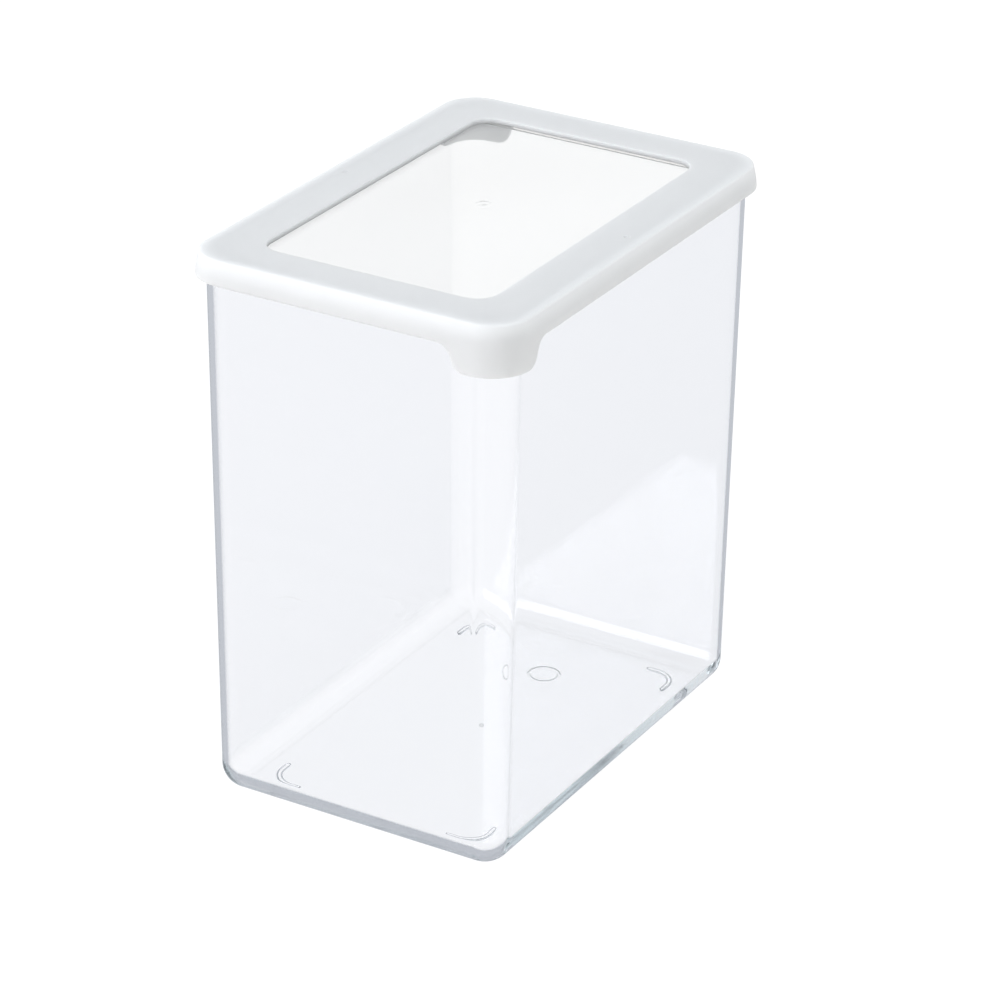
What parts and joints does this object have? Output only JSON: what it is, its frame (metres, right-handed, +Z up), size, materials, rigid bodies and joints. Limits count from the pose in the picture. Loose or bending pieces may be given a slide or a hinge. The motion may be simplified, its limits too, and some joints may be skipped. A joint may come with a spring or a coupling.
{
  "type": "dry-food storage box",
  "caption": "Clear rectangular dry-food storage box with a press-on lid: a clear window in a soft white frame with pull tabs on two opposite corners.",
  "frame": {"origin": "on the surface the box stands on, under the middle of the box", "axes": "+Z up, +Y along the depth, +X across the width; the pull tabs are at the (+X, -Y) and (-X, +Y) corners"},
  "size_m": [0.125, 0.18, 0.202],
  "materials": {
    "clear_plastic": "clear, polished",
    "soft_white": "fine satin"
  },
  "bodies": {
    "box": {"container": "clear_plastic"},
    "lid": {"lid_frame": "soft_white", "lid_window": "clear_plastic"}
  },
  "joints": [
    {"name": "lid_lift", "type": "slide", "parent": "box", "child": "lid", "axis": [0, 0, 1], "range_m": [0, 0.06]}
  ]
}
